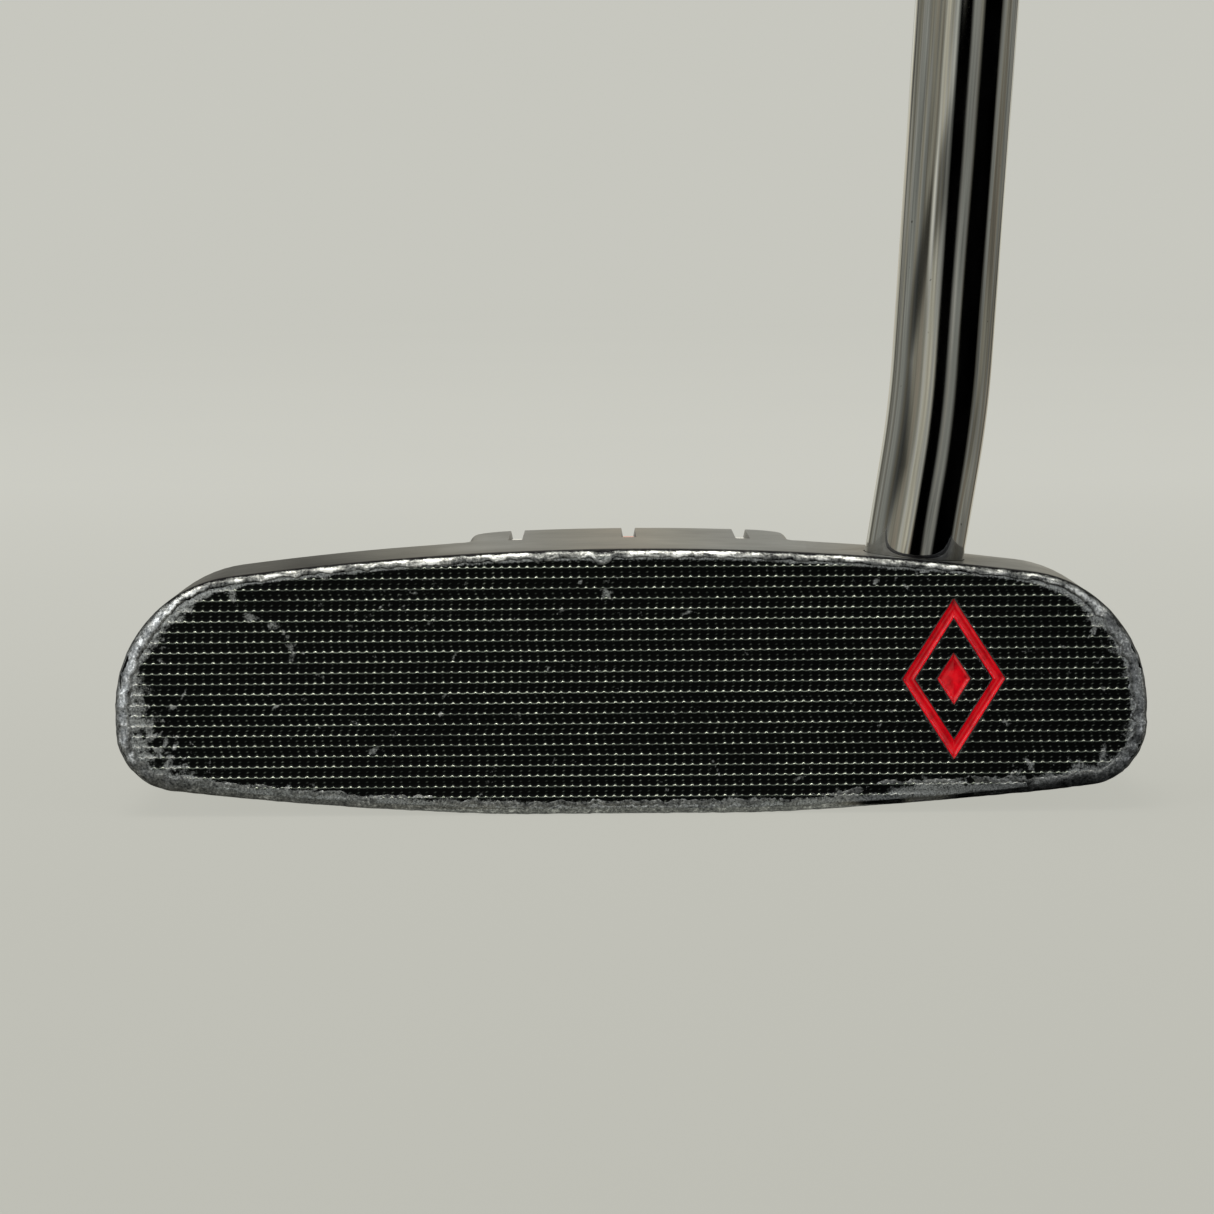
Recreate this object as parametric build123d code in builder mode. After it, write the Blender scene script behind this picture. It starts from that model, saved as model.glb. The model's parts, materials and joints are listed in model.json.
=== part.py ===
from build123d import *
import os
from math import asin, cos, radians, sin, sqrt, tan

# Mid-mallet putter with a blade-like front, in the address position, in millimetres.
# +X points to the heel, +Y away from the face, +Z up.  The origin is the middle of the
# flat pad on the sole, so the head rests on the plane Z = 0 and the shaft leans to +X.

# ---- head: driving dimensions ----
head_width = 96.8         # toe to heel
head_height = 24.8        # sole pad to the middle of the topline
head_depth = 60.0         # leading edge to the back of the flange
top_radius = 300.0        # camber of the topline, seen from the front
sole_radius = 363.0       # camber of the sole, seen from the front
upper_corner = 12.3       # corner radii of the face outline
lower_corner = 5.9
corner_room = 0.95        # share of the end's height that its two corners may take
pad_width = 20.0          # flat on the sole
pad_to_lead = 22.0        # leading edge to the origin
loft_angle = 3.5          # degrees
side_run = 13.0           # from the leading edge to the widest part of the half-moon
plan_flare = 1.2          # the half-moon starts this far outside the ends
blade_depth = 15.5        # full-height front section
face_edge = 1.6           # rounding round the face
trail_relief = 5.0        # degrees, rise of the sole behind the pad
relief_start = 12.0       # where that rise begins, behind the origin

# ---- flange and alignment tongue ----
flange_height = 8.0       # where the flange meets the blade
flange_fall = 3.0         # degrees, fall of the flange to the rear
flange_root = 2.5         # rounding at the foot of the blade's back
rim_lower = 1.2           # rounding under the back of the flange
rim_upper = 1.2           # rounding on top of it
tongue_width = 32.0
tongue_depth = 12.5
tongue_corner = 4.0
tongue_inner = 2.6        # where the tongue's sides meet the blade's back
tongue_drop = 0.12        # the tongue lies this far under the topline
enamel_stop = 0.4         # the enamel ends this far before the tongue's back
sight_spacing = 11.2      # centre line to the outer lines
sight_floor = 1.0         # groove width at the floor
sight_mouth = 1.4         # groove width at the top
sight_cut = 1.0           # groove depth
enamel = 0.2              # thickness of the enamel in a groove

# ---- mark on the face ----
mark_x = 30.2             # centre, towards the heel
mark_height = 12.5        # centre, above the sole
mark_width = 9.6
mark_tall = 15.0
mark_stroke = 0.95
mark_core = 0.42          # size of the inner lozenge against the ring's opening
mark_cut = 0.5            # depth of the recess
mark_fill = 0.42          # thickness of the enamel in it

# ---- shaft ----
tip_radius = 4.7
butt_radius = 7.35
tube_wall = 0.5
bore_depth = 17.5         # along the shaft, below the topline
bond_gap = 0.12           # adhesive between the shaft and its bore
bond_stop = 1.0           # the adhesive ends this far below the topline
plug_length = 8.0
shaft_x = 27.1            # where the axis leaves the topline
shaft_setback = 6.2       # axis behind the upper edge of the face
tip_lean = (0.150, -0.130)      # run in X and Y for each mm of height
middle_lean = (0.045, -0.200)
main_lean = (0.344, 0.0)        # 71 degree lie
first_bend = 14.0         # height of the bends above the topline
second_bend = 66.0
first_radius = 85.0
second_radius = 62.0
club_length = 864.0       # sole to butt, along the shaft
plain_run = 120.0         # straight tube above the second bend
step_count = 9
step_run = 38.0           # distance from step to step
step_cone = 1.5

# ---- grip ----
grip_length = 262.0
tape_thick = 0.3
cap_thick = 5.0
cap_rounding = 1.5
vent_radius = 1.6
# distance up the grip, width, axis to the thumb flat, axis to the back
grip_sections = [
    (0.0, 20.4, 8.2, 10.2),
    (70.0, 21.4, 8.7, 10.9),
    (150.0, 23.2, 9.4, 12.2),
    (210.0, 25.6, 10.0, 15.4),
    (240.0, 26.6, 10.3, 17.2),
    (grip_length, 26.8, 10.4, 16.6),
]

# ---- derived sizes ----
half_width = head_width / 2
plan_half = half_width + plan_flare
lead_y = -pad_to_lead
pad_sag = pad_width**2 / (8 * sole_radius)
blade_back = lead_y + blade_depth
tongue_back = blade_back + tongue_depth
sight_places = (-sight_spacing, 0, sight_spacing)


def topline(x):
    """Height of the topline at a distance x from the middle of the head."""
    return head_height - top_radius + sqrt(top_radius**2 - x**2)


def sole(x):
    """Height of the cambered sole at a distance x from the middle of the head."""
    return sole_radius - pad_sag - sqrt(sole_radius**2 - x**2)


def face_y(z):
    """Place of the face plane at a height z."""
    return lead_y + z * tan(radians(loft_angle))


def corner_reach(radius, camber):
    """Height that a corner rounding takes up at the end, under a long edge of that camber."""
    return radius * tan((radians(90) - asin(half_width / camber)) / 2)


# the roundings are limited by the end that both of them share
end_height = topline(half_width) - sole(half_width)
corners_reach = corner_reach(upper_corner, top_radius) + corner_reach(lower_corner, sole_radius)
corner_share = min(1, corner_room * end_height / corners_reach)

# ---- shaft route: bore floor, two bends, then the straight leaning run ----
mouth = Vector(shaft_x, face_y(head_height) + shaft_setback, topline(shaft_x))
tip_dir = Vector(*tip_lean, 1).normalized()
main_dir = Vector(*main_lean, 1).normalized()
tip_end = mouth - tip_dir * bore_depth
bend_1 = mouth + Vector(*tip_lean, 1) * first_bend
bend_2 = bend_1 + Vector(*middle_lean, 1) * (second_bend - first_bend)
main_start = bend_2 + main_dir * second_radius * 0.5
bent_length = (mouth - tip_end).length + (bend_1 - mouth).length
bent_length += (bend_2 - bend_1).length + (main_start - bend_2).length
main_run = club_length - bent_length
across = Vector(0, 1, 0)


def main_plane(distance):
    """Plane across the main run; its local Y faces the golfer's thumbs."""
    return Plane(origin=main_start + main_dir * distance, x_dir=across, z_dir=main_dir)


along_plane = Plane(origin=main_start, x_dir=across, z_dir=across.cross(main_dir))
main_axis = Axis(main_start, main_dir)
tip_plane = Plane(origin=tip_end, z_dir=tip_dir)
face_plane = Plane(
    origin=(0, lead_y, 0),
    x_dir=(1, 0, 0),
    z_dir=(0, -cos(radians(loft_angle)), sin(radians(loft_angle))),
)
mark_plane = Plane(
    origin=(mark_x, face_y(mark_height), mark_height),
    x_dir=(1, 0, 0),
    z_dir=face_plane.z_dir,
)

os.makedirs("parts", exist_ok=True)


def mark_outline():
    """Tall lozenge ring round a small solid lozenge."""
    outer = (mark_width / 2, mark_tall / 2)
    scale = 1 - mark_stroke * sqrt(outer[0] ** 2 + outer[1] ** 2) / (outer[0] * outer[1])
    for share, mode in ((1.0, Mode.ADD), (scale, Mode.SUBTRACT), (scale * mark_core, Mode.ADD)):
        half_w = outer[0] * share
        half_t = outer[1] * share
        Polygon((half_w, 0), (0, half_t), (-half_w, 0), (0, -half_t), mode=mode)


def groove_profile(x, low, high):
    """Part of a sight groove's section, between two heights above its floor."""
    floor = topline(x) - tongue_drop - sight_cut
    flare = (sight_mouth - sight_floor) / 2 / sight_cut
    half_low = sight_floor / 2 + flare * low
    half_high = sight_floor / 2 + flare * high
    Polygon(
        (x - half_low, floor + low),
        (x + half_low, floor + low),
        (x + half_high, floor + high),
        (x - half_high, floor + high),
        align=None,
    )


# ---- space over the flange, with the rounded foot that a ball-nosed cutter leaves ----
flange_plane = Plane(
    origin=(0, blade_back, flange_height),
    x_dir=(1, 0, 0),
    z_dir=(0, sin(radians(flange_fall)), cos(radians(flange_fall))),
)
with BuildPart() as rear_space:
    with BuildSketch(flange_plane):
        with BuildLine():
            FilletPolyline(
                (-head_width, 0),
                (-tongue_width / 2, 0),
                (-tongue_width / 2, tongue_depth),
                (tongue_width / 2, tongue_depth),
                (tongue_width / 2, 0),
                (head_width, 0),
                radius=(tongue_inner, tongue_corner, tongue_corner, tongue_inner),
            )
            Polyline(
                (head_width, 0),
                (head_width, head_depth),
                (-head_width, head_depth),
                (-head_width, 0),
            )
        make_face()
    extrude(amount=head_height)
    floor = rear_space.faces().filter_by(lambda f: f.normal_at().dot(flange_plane.z_dir) < -0.9999)
    foot_edges = floor.edges().filter_by(lambda e: e.center().Y < tongue_back + 1)
    fillet(foot_edges.filter_by(lambda e: abs(e.center().X) < head_width - 1), flange_root)

# ---- head ----
with BuildPart() as head_body:
    # front outline, carried straight back
    with BuildSketch(Plane.XZ.offset(pad_to_lead)) as outline:
        with BuildLine():
            ThreePointArc(
                (-half_width, topline(half_width)),
                (0, head_height),
                (half_width, topline(half_width)),
            )
            Line((half_width, topline(half_width)), (half_width, sole(half_width)))
            ThreePointArc(
                (half_width, sole(half_width)),
                (0, -pad_sag),
                (-half_width, sole(half_width)),
            )
            Line((-half_width, sole(half_width)), (-half_width, topline(half_width)))
        make_face()
        fillet(outline.vertices().group_by(Axis.Y)[-1], upper_corner * corner_share)
        fillet(outline.vertices().group_by(Axis.Y)[0], lower_corner * corner_share)
    extrude(amount=-head_depth)
    # half-moon plan
    with BuildSketch(Plane.XY.offset(-1)):
        with BuildLine():
            Polyline(
                (-plan_half, lead_y + side_run),
                (-plan_half, lead_y),
                (plan_half, lead_y),
                (plan_half, lead_y + side_run),
            )
            EllipticalCenterArc(
                (0, lead_y + side_run), plan_half, head_depth - side_run, arc_size=180
            )
        make_face()
    extrude(amount=head_height + 2, mode=Mode.INTERSECT)
    # sole pad, rear relief and loft
    split(bisect_by=Plane.XY, keep=Keep.TOP)
    relief = Plane(
        origin=(0, relief_start, 0),
        x_dir=(1, 0, 0),
        z_dir=(0, -sin(radians(trail_relief)), cos(radians(trail_relief))),
    )
    split(bisect_by=relief, keep=Keep.TOP)
    split(bisect_by=face_plane, keep=Keep.BOTTOM)
    # low flange behind the blade, round the tongue
    add(rear_space.part, mode=Mode.SUBTRACT)
    # roundings: lower rim, upper rim, face
    rear_wall = head_body.faces().sort_by(Axis.Y)[-1]
    fillet(rear_wall.edges().filter_by(lambda e: e.center().Z < flange_height / 2), rim_lower)
    upper_rim = head_body.edges().filter_by(
        lambda e: e.center().Y > tongue_back + flange_root and e.center().Z > flange_height / 2
    )
    fillet(upper_rim.sort_by(SortBy.LENGTH)[-1], rim_upper)
    front = head_body.faces().filter_by(lambda f: f.normal_at().dot(face_plane.z_dir) > 0.9999)
    fillet(front.edges(), face_edge)
    # tongue a hair below the topline, then the sight grooves
    with BuildSketch(Plane.XZ.offset(-blade_back)) as step:
        with BuildLine():
            reach = tongue_width / 2 + 1
            ThreePointArc(
                (-reach, topline(reach) - tongue_drop),
                (0, head_height - tongue_drop),
                (reach, topline(reach) - tongue_drop),
            )
            Polyline(
                (reach, topline(reach) - tongue_drop),
                (reach, head_height + 1),
                (-reach, head_height + 1),
                (-reach, topline(reach) - tongue_drop),
            )
        make_face()
    extrude(amount=-(tongue_depth + 1), mode=Mode.SUBTRACT)
    with BuildSketch(Plane.XZ.offset(-blade_back)):
        for x in sight_places:
            groove_profile(x, 0, sight_cut + 0.5)
    extrude(amount=-(tongue_depth + 1), mode=Mode.SUBTRACT)
    # recess for the mark, and the bore that takes the shaft
    with BuildSketch(mark_plane):
        mark_outline()
    extrude(amount=-mark_cut, mode=Mode.SUBTRACT)
    with BuildSketch(tip_plane):
        Circle(tip_radius + bond_gap)
    extrude(amount=bore_depth + 5, mode=Mode.SUBTRACT)

head_body.part.label = "head_body"
export_step(head_body.part, "parts/head_body.step")

# ---- enamel in the mark and in the sight grooves ----
with BuildPart() as face_mark_enamel:
    with BuildSketch(mark_plane.offset(-mark_cut)):
        mark_outline()
    extrude(amount=mark_fill)

face_mark_enamel.part.label = "face_mark_enamel"
export_step(face_mark_enamel.part, "parts/face_mark_enamel.step")

with BuildPart() as centre_sight_enamel:
    with BuildSketch(Plane.XZ.offset(-blade_back)):
        groove_profile(0, 0, enamel)
    extrude(amount=-(tongue_depth - enamel_stop))

centre_sight_enamel.part.label = "centre_sight_enamel"
export_step(centre_sight_enamel.part, "parts/centre_sight_enamel.step")

with BuildPart() as outer_sight_enamel:
    with BuildSketch(Plane.XZ.offset(-blade_back)):
        for x in (-sight_spacing, sight_spacing):
            groove_profile(x, 0, enamel)
    extrude(amount=-(tongue_depth - enamel_stop))

outer_sight_enamel.part.label = "outer_sight_enamel"
export_step(outer_sight_enamel.part, "parts/outer_sight_enamel.step")

# ---- shaft: bent tip, then a stepped tube ----
tube_profile = [(tip_radius, 0.0)]
for step_number in range(step_count):
    radius = tip_radius + (butt_radius - tip_radius) * (step_number + 1) / step_count
    foot = plain_run + step_number * step_run
    tube_profile.append((tube_profile[-1][0], foot))
    tube_profile.append((radius, foot + step_cone))
tube_profile.append((butt_radius, main_run))
bore_profile = [(radius - tube_wall, distance) for radius, distance in reversed(tube_profile)]

with BuildPart() as shaft:
    with BuildLine():
        FilletPolyline(
            tip_end, bend_1, bend_2, main_start, radius=(first_radius, second_radius)
        )
    with BuildSketch(tip_plane):
        Circle(tip_radius)
        Circle(tip_radius - tube_wall, mode=Mode.SUBTRACT)
    sweep()
    with BuildSketch(along_plane):
        Polygon(*tube_profile, *bore_profile, align=None)
    revolve(axis=main_axis)

shaft.part.label = "shaft"
export_step(shaft.part, "parts/shaft.step")

# ---- what holds the shaft in the head ----
with BuildPart() as shaft_bond:
    with BuildSketch(tip_plane):
        Circle(tip_radius + bond_gap)
        Circle(tip_radius, mode=Mode.SUBTRACT)
    extrude(amount=bore_depth - bond_stop)

shaft_bond.part.label = "shaft_bond"
export_step(shaft_bond.part, "parts/shaft_bond.step")

with BuildPart() as shaft_tip_plug:
    with BuildSketch(tip_plane):
        Circle(tip_radius - tube_wall)
    extrude(amount=plug_length)
    chamfer(shaft_tip_plug.edges().group_by(Axis.Z)[-1], 0.5)

shaft_tip_plug.part.label = "shaft_tip_plug"
export_step(shaft_tip_plug.part, "parts/shaft_tip_plug.step")

# ---- grip, its tape and its end cap ----
with BuildPart() as grip_tape:
    with BuildSketch(main_plane(main_run - grip_length)):
        Circle(butt_radius + tape_thick)
        Circle(butt_radius, mode=Mode.SUBTRACT)
    extrude(amount=grip_length)

grip_tape.part.label = "grip_tape"
export_step(grip_tape.part, "parts/grip_tape.step")


def grip_outline(width, thumb, back):
    """Closed section: a half ellipse behind, a flat for the thumbs in front."""
    shoulder = width * 0.2
    with BuildLine() as rim:
        EllipticalCenterArc((0, 0), width / 2, back, start_angle=180, arc_size=180)
        EllipticalCenterArc((width / 2 - shoulder, 0), shoulder, thumb, arc_size=90)
        Line((width / 2 - shoulder, thumb), (shoulder - width / 2, thumb))
        EllipticalCenterArc(
            (shoulder - width / 2, 0), shoulder, thumb, start_angle=90, arc_size=90
        )
    make_face(rim.edges())


with BuildPart() as grip:
    for distance, width, thumb, back in grip_sections:
        with BuildSketch(main_plane(main_run - grip_length + distance)):
            grip_outline(width, thumb, back)
    loft()
    with BuildSketch(main_plane(main_run - grip_length)):
        Circle(butt_radius + tape_thick)
    extrude(amount=grip_length, mode=Mode.SUBTRACT)

grip.part.label = "grip"
export_step(grip.part, "parts/grip.step")

with BuildPart() as grip_cap:
    with BuildSketch(main_plane(main_run)):
        grip_outline(*grip_sections[-1][1:])
    extrude(amount=cap_thick)
    outer_face = grip_cap.faces().sort_by(main_axis)[-1]
    fillet(outer_face.edges(), cap_rounding)
    with BuildSketch(main_plane(main_run)):
        Circle(vent_radius)
    extrude(amount=cap_thick, mode=Mode.SUBTRACT)

grip_cap.part.label = "grip_cap"
export_step(grip_cap.part, "parts/grip_cap.step")
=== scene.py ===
"""Looks of a mid-mallet putter: milled black head, bent chromed shaft, moulded grip."""

import json
import logging
import math
from dataclasses import dataclass, field

import bpy
import bmesh
import numpy as np
from mathutils import Matrix, Vector


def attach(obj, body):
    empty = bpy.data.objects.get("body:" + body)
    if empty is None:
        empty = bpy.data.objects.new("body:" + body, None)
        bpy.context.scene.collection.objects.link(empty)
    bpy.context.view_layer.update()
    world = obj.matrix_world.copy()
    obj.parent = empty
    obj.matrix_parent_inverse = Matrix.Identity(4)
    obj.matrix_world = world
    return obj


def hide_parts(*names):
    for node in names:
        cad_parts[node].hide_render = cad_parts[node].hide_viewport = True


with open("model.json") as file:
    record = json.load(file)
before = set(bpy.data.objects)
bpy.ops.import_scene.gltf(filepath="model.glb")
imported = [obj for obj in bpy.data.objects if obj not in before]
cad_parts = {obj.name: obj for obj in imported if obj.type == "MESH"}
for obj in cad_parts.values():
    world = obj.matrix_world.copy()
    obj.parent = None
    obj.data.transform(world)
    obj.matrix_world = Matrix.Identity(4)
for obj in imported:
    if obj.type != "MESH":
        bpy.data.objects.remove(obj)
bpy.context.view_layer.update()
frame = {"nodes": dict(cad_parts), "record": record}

LOG = logging.getLogger("putter")
MM = 0.001
SEED = 11


# ---------------------------------------------------------------- shared helpers


def linear(hex_colour: str) -> tuple[float, float, float, float]:
    """Turns an sRGB hex colour into the linear values a shader socket takes.

    Args:
        hex_colour: colour written as "#rrggbb".

    Returns:
        Linear red, green and blue, and full opacity.
    """
    parts = [int(hex_colour[i : i + 2], 16) / 255 for i in (1, 3, 5)]
    out = [p / 12.92 if p <= 0.04045 else ((p + 0.055) / 1.055) ** 2.4 for p in parts]
    return (out[0], out[1], out[2], 1.0)


def add_node(
    tree: bpy.types.NodeTree,
    kind: str,
    settings: dict | None = None,
    links: dict | None = None,
    stops: list[tuple[float, object]] | None = None,
) -> bpy.types.Node:
    """Adds one node with its settings and what feeds it.

    Args:
        tree: node tree that takes the node.
        kind: Blender's type name of the node.
        settings: attribute names or input names, with their values.
        links: input names or numbers, with the output sockets that feed them.
        stops: for a colour ramp, the place and grey level or hex colour of each stop.

    Returns:
        The new node.
    """
    node = tree.nodes.new(kind)
    for name, value in (settings or {}).items():
        if isinstance(name, int) or name in node.inputs:
            node.inputs[name].default_value = value
        else:
            setattr(node, name, value)
    for name, socket in (links or {}).items():
        tree.links.new(socket, node.inputs[name])
    while stops and len(node.color_ramp.elements) < len(stops):
        node.color_ramp.elements.new(0.5)
    for number, (place, value) in enumerate(stops or []):
        stop = node.color_ramp.elements[number]
        stop.position = place
        stop.color = linear(value) if isinstance(value, str) else (value, value, value, 1)
    return node


def new_material(name: str) -> tuple[bpy.types.Material, bpy.types.NodeTree, bpy.types.Node]:
    """Starts a node material.

    Args:
        name: the finish's name.

    Returns:
        The material, its node tree and its principled shader.
    """
    material = bpy.data.materials.new(name)
    material.use_nodes = True
    tree = material.node_tree
    return material, tree, tree.nodes["Principled BSDF"]


def mesh_piece(
    name: str,
    points: np.ndarray,
    faces: list,
    material: bpy.types.Material,
) -> bpy.types.Object:
    """Makes a smooth-shaded piece from points and faces, ready to ride on the part.

    Args:
        name: the piece's name.
        points: N by 3 array, metres.
        faces: index arrays, one per kind of face, each K by corner count, or lists.
        material: finish of the piece.

    Returns:
        The new object, at the origin.
    """
    mesh = bpy.data.meshes.new(name)
    rows = []
    for group in faces:
        rows.extend(group.tolist() if isinstance(group, np.ndarray) else group)
    mesh.from_pydata(points.tolist(), [], rows)
    mesh.polygons.foreach_set("use_smooth", np.full(len(rows), True))
    mesh.update()
    mesh.materials.append(material)
    piece = bpy.data.objects.new(name, mesh)
    bpy.context.scene.collection.objects.link(piece)
    return piece


def set_attribute(piece: bpy.types.Object, name: str, values: np.ndarray) -> None:
    """Stores one number per point, for the piece's finish to read.

    Args:
        piece: object with a mesh.
        name: attribute name.
        values: one value per point.
    """
    layer = piece.data.attributes.new(name, "FLOAT", "POINT")
    layer.data.foreach_set("value", values.astype(np.float32))


def ring_faces(rings: int, sides: int, closed_rings: bool = False) -> np.ndarray:
    """Quads of a tube made of rings of points, faces outward for right-handed rings.

    Args:
        rings: number of rings.
        sides: points on each ring.
        closed_rings: whether the last ring joins the first.

    Returns:
        K by 4 array of point numbers.
    """
    count = rings if closed_rings else rings - 1
    ring = np.arange(count)[:, None]
    side = np.arange(sides)[None, :]
    after = (ring + 1) % rings
    beside = (side + 1) % sides
    quads = [ring * sides + side, ring * sides + beside, after * sides + beside, after * sides + side]
    return np.stack(np.broadcast_arrays(*quads), -1).reshape(-1, 4)


def value_noise(x: np.ndarray, y: np.ndarray, seed: int) -> np.ndarray:
    """Smooth random field: random values on whole numbers, blended between them.

    Args:
        x: first coordinate.
        y: second coordinate.
        seed: which field.

    Returns:
        Values from 0 to 1.
    """

    def corner(i: np.ndarray, j: np.ndarray) -> np.ndarray:
        """Random value of a lattice corner, from the fraction of a large sine."""
        return np.mod(np.sin(i * 127.1 + j * 311.7 + seed * 74.7) * 43758.5453, 1.0)

    i, j = np.floor(x), np.floor(y)
    u, v = x - i, y - j
    u, v = u * u * (3 - 2 * u), v * v * (3 - 2 * v)
    low = corner(i, j) * (1 - u) + corner(i + 1, j) * u
    high = corner(i, j + 1) * (1 - u) + corner(i + 1, j + 1) * u
    return low * (1 - v) + high * v


def ridge_noise(x: np.ndarray, y: np.ndarray, seed: int, layers: int = 4) -> np.ndarray:
    """Sum of value noises, each twice as fine, half as strong and turned from the one before."""
    total = 0.0
    for k in range(layers):
        cos, sin = math.cos(0.6 + 0.9 * k), math.sin(0.6 + 0.9 * k)
        total = total + value_noise((x * cos - y * sin) * 2**k, (x * sin + y * cos) * 2**k, seed + k) / 2**k
    return total / (2 - 2 ** (1 - layers))


def smooth_step(low: float, high: float, value: np.ndarray) -> np.ndarray:
    """Rises smoothly from 0 at low to 1 at high."""
    t = np.clip((value - low) / (high - low), 0, 1)
    return t * t * (3 - 2 * t)


# ---------------------------------------------------------------- finishes


@dataclass(frozen=True)
class MilledFaceSteel:
    """Black-oxide milled steel with rubbed crests and painted highlights on them.

    Face milling leaves rows of small crests.  Black oxide is a thin dark film, so the eye
    sees near black, with fine grey-green lines and bright points on the crests, partly where
    the film has been rubbed off and partly painted highlights for the glints the crests catch
    from the light above, and pale specks where the face has been knocked.
    """

    film: str = "#0e0f0e"
    # crest tones: rubbed film, brightened into painted highlights
    rubbed: str = "#8b9286"
    bright: str = "#c4c9bd"
    grain_mm: float = 0.16
    speck_mm: float = 0.22

    def make(self) -> bpy.types.Material:
        """Builds the material; it reads the point attributes crest, which is rubbed film with painted
        highlights, and bare.
        """
        material, tree, shader = new_material("black_oxide_milled_face_steel")
        place = add_node(tree, "ShaderNodeTexCoord").outputs["Object"]
        crest = add_node(tree, "ShaderNodeAttribute", {"attribute_name": "crest"}).outputs["Fac"]
        bare = add_node(tree, "ShaderNodeAttribute", {"attribute_name": "bare"}).outputs["Fac"]
        grain = add_node(
            tree,
            "ShaderNodeTexNoise",
            {"Scale": 1 / (self.grain_mm * MM), "Detail": 3.0, "Roughness": 0.6},
            {"Vector": place},
        ).outputs["Fac"]
        speck = add_node(
            tree,
            "ShaderNodeTexNoise",
            {"Scale": 1 / (self.speck_mm * MM), "Detail": 4.0, "Roughness": 0.75},
            {"Vector": place},
        ).outputs["Fac"]
        # pale metal shows where the bare value beats the speckle
        edge = add_node(tree, "ShaderNodeMath", {"operation": "SUBTRACT"}, {0: bare, 1: speck})
        gain = {"operation": "MULTIPLY_ADD", 1: 4.5, 2: 0.20, "use_clamp": True}
        worn = add_node(tree, "ShaderNodeMath", gain, {0: edge.outputs[0]}).outputs[0]
        # crest colour: rubbed film and painted highlights, from the dark film up to the bright glint tone
        crest_wear_and_glint_tone = add_node(
            tree, "ShaderNodeValToRGB", None, {0: crest},
            [(0.10, self.film), (0.42, "#3d423d"), (0.62, self.rubbed), (1.0, self.bright)],
        ).outputs[0]
        worn_tone = add_node(
            tree, "ShaderNodeValToRGB", None, {0: grain},
            [(0.3, "#3c3e3d"), (0.66, "#a7aaa6")],
        ).outputs[0]
        colour = add_node(
            tree, "ShaderNodeMix", {"data_type": "RGBA"}, {0: worn, 6: crest_wear_and_glint_tone, 7: worn_tone}
        ).outputs[2]
        tree.links.new(colour, shader.inputs["Base Color"])
        shader.inputs["Metallic"].default_value = 1.0
        rough = add_node(
            tree, "ShaderNodeValToRGB", None, {0: crest},
            [(0.2, 0.60), (0.9, 0.34)],
        ).outputs[0]
        tree.links.new(rough, shader.inputs["Roughness"])
        bump = add_node(
            tree,
            "ShaderNodeBump",
            {"Strength": 0.35, "Distance": 0.02 * MM},
            {"Height": speck},
        )
        tree.links.new(bump.outputs[0], shader.inputs["Normal"])
        return material


@dataclass(frozen=True)
class RubbedRimSteel:
    """Steel rim with its black film rubbed through to burnished metal.

    Bag wear polishes a soft mottled grey, bright where it is sharpest, with the film
    still dark in the dents and along the outer edge.
    """

    film: str = "#0d0c10"
    grey: str = "#565857"
    bright: str = "#dfe1dd"
    mottle_mm: float = 1.3
    fine_mm: float = 0.26

    def make(self) -> bpy.types.Material:
        """Builds the material; it reads the point attribute bare."""
        material, tree, shader = new_material("rubbed_black_oxide_rim_steel")
        place = add_node(tree, "ShaderNodeTexCoord").outputs["Object"]
        bare = add_node(tree, "ShaderNodeAttribute", {"attribute_name": "bare"}).outputs["Fac"]
        mottle = add_node(
            tree,
            "ShaderNodeTexNoise",
            {"Scale": 1 / (self.mottle_mm * MM), "Detail": 5.0, "Roughness": 0.7},
            {"Vector": place},
        ).outputs["Fac"]
        fine = add_node(
            tree,
            "ShaderNodeTexNoise",
            {"Scale": 1 / (self.fine_mm * MM), "Detail": 3.0, "Roughness": 0.7},
            {"Vector": place},
        ).outputs["Fac"]
        blend = {"operation": "MULTIPLY_ADD", 1: 0.9, 2: -0.45}
        broad = add_node(tree, "ShaderNodeMath", blend, {0: mottle}).outputs[0]
        blend = {"operation": "MULTIPLY_ADD", 1: 1.5, 2: -0.75}
        close = add_node(tree, "ShaderNodeMath", blend, {0: fine}).outputs[0]
        uneven = add_node(tree, "ShaderNodeMath", {"operation": "ADD"}, {0: broad, 1: close}).outputs[0]
        level = add_node(tree, "ShaderNodeMath", {"operation": "ADD"}, {0: bare, 1: uneven}).outputs[0]
        tone = add_node(
            tree, "ShaderNodeValToRGB", None, {0: level},
            [(0.14, self.film), (0.38, self.grey), (0.72, "#8e908d"), (1.0, self.bright)],
        ).outputs[0]
        tree.links.new(tone, shader.inputs["Base Color"])
        shader.inputs["Metallic"].default_value = 1.0
        rough = add_node(
            tree, "ShaderNodeValToRGB", None, {0: mottle},
            [(0.3, 0.36), (0.7, 0.56)],
        ).outputs[0]
        tree.links.new(rough, shader.inputs["Roughness"])
        bump = add_node(
            tree, "ShaderNodeBump", {"Strength": 0.5, "Distance": 0.04 * MM}, {"Height": level}
        )
        tree.links.new(bump.outputs[0], shader.inputs["Normal"])
        return material


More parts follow.
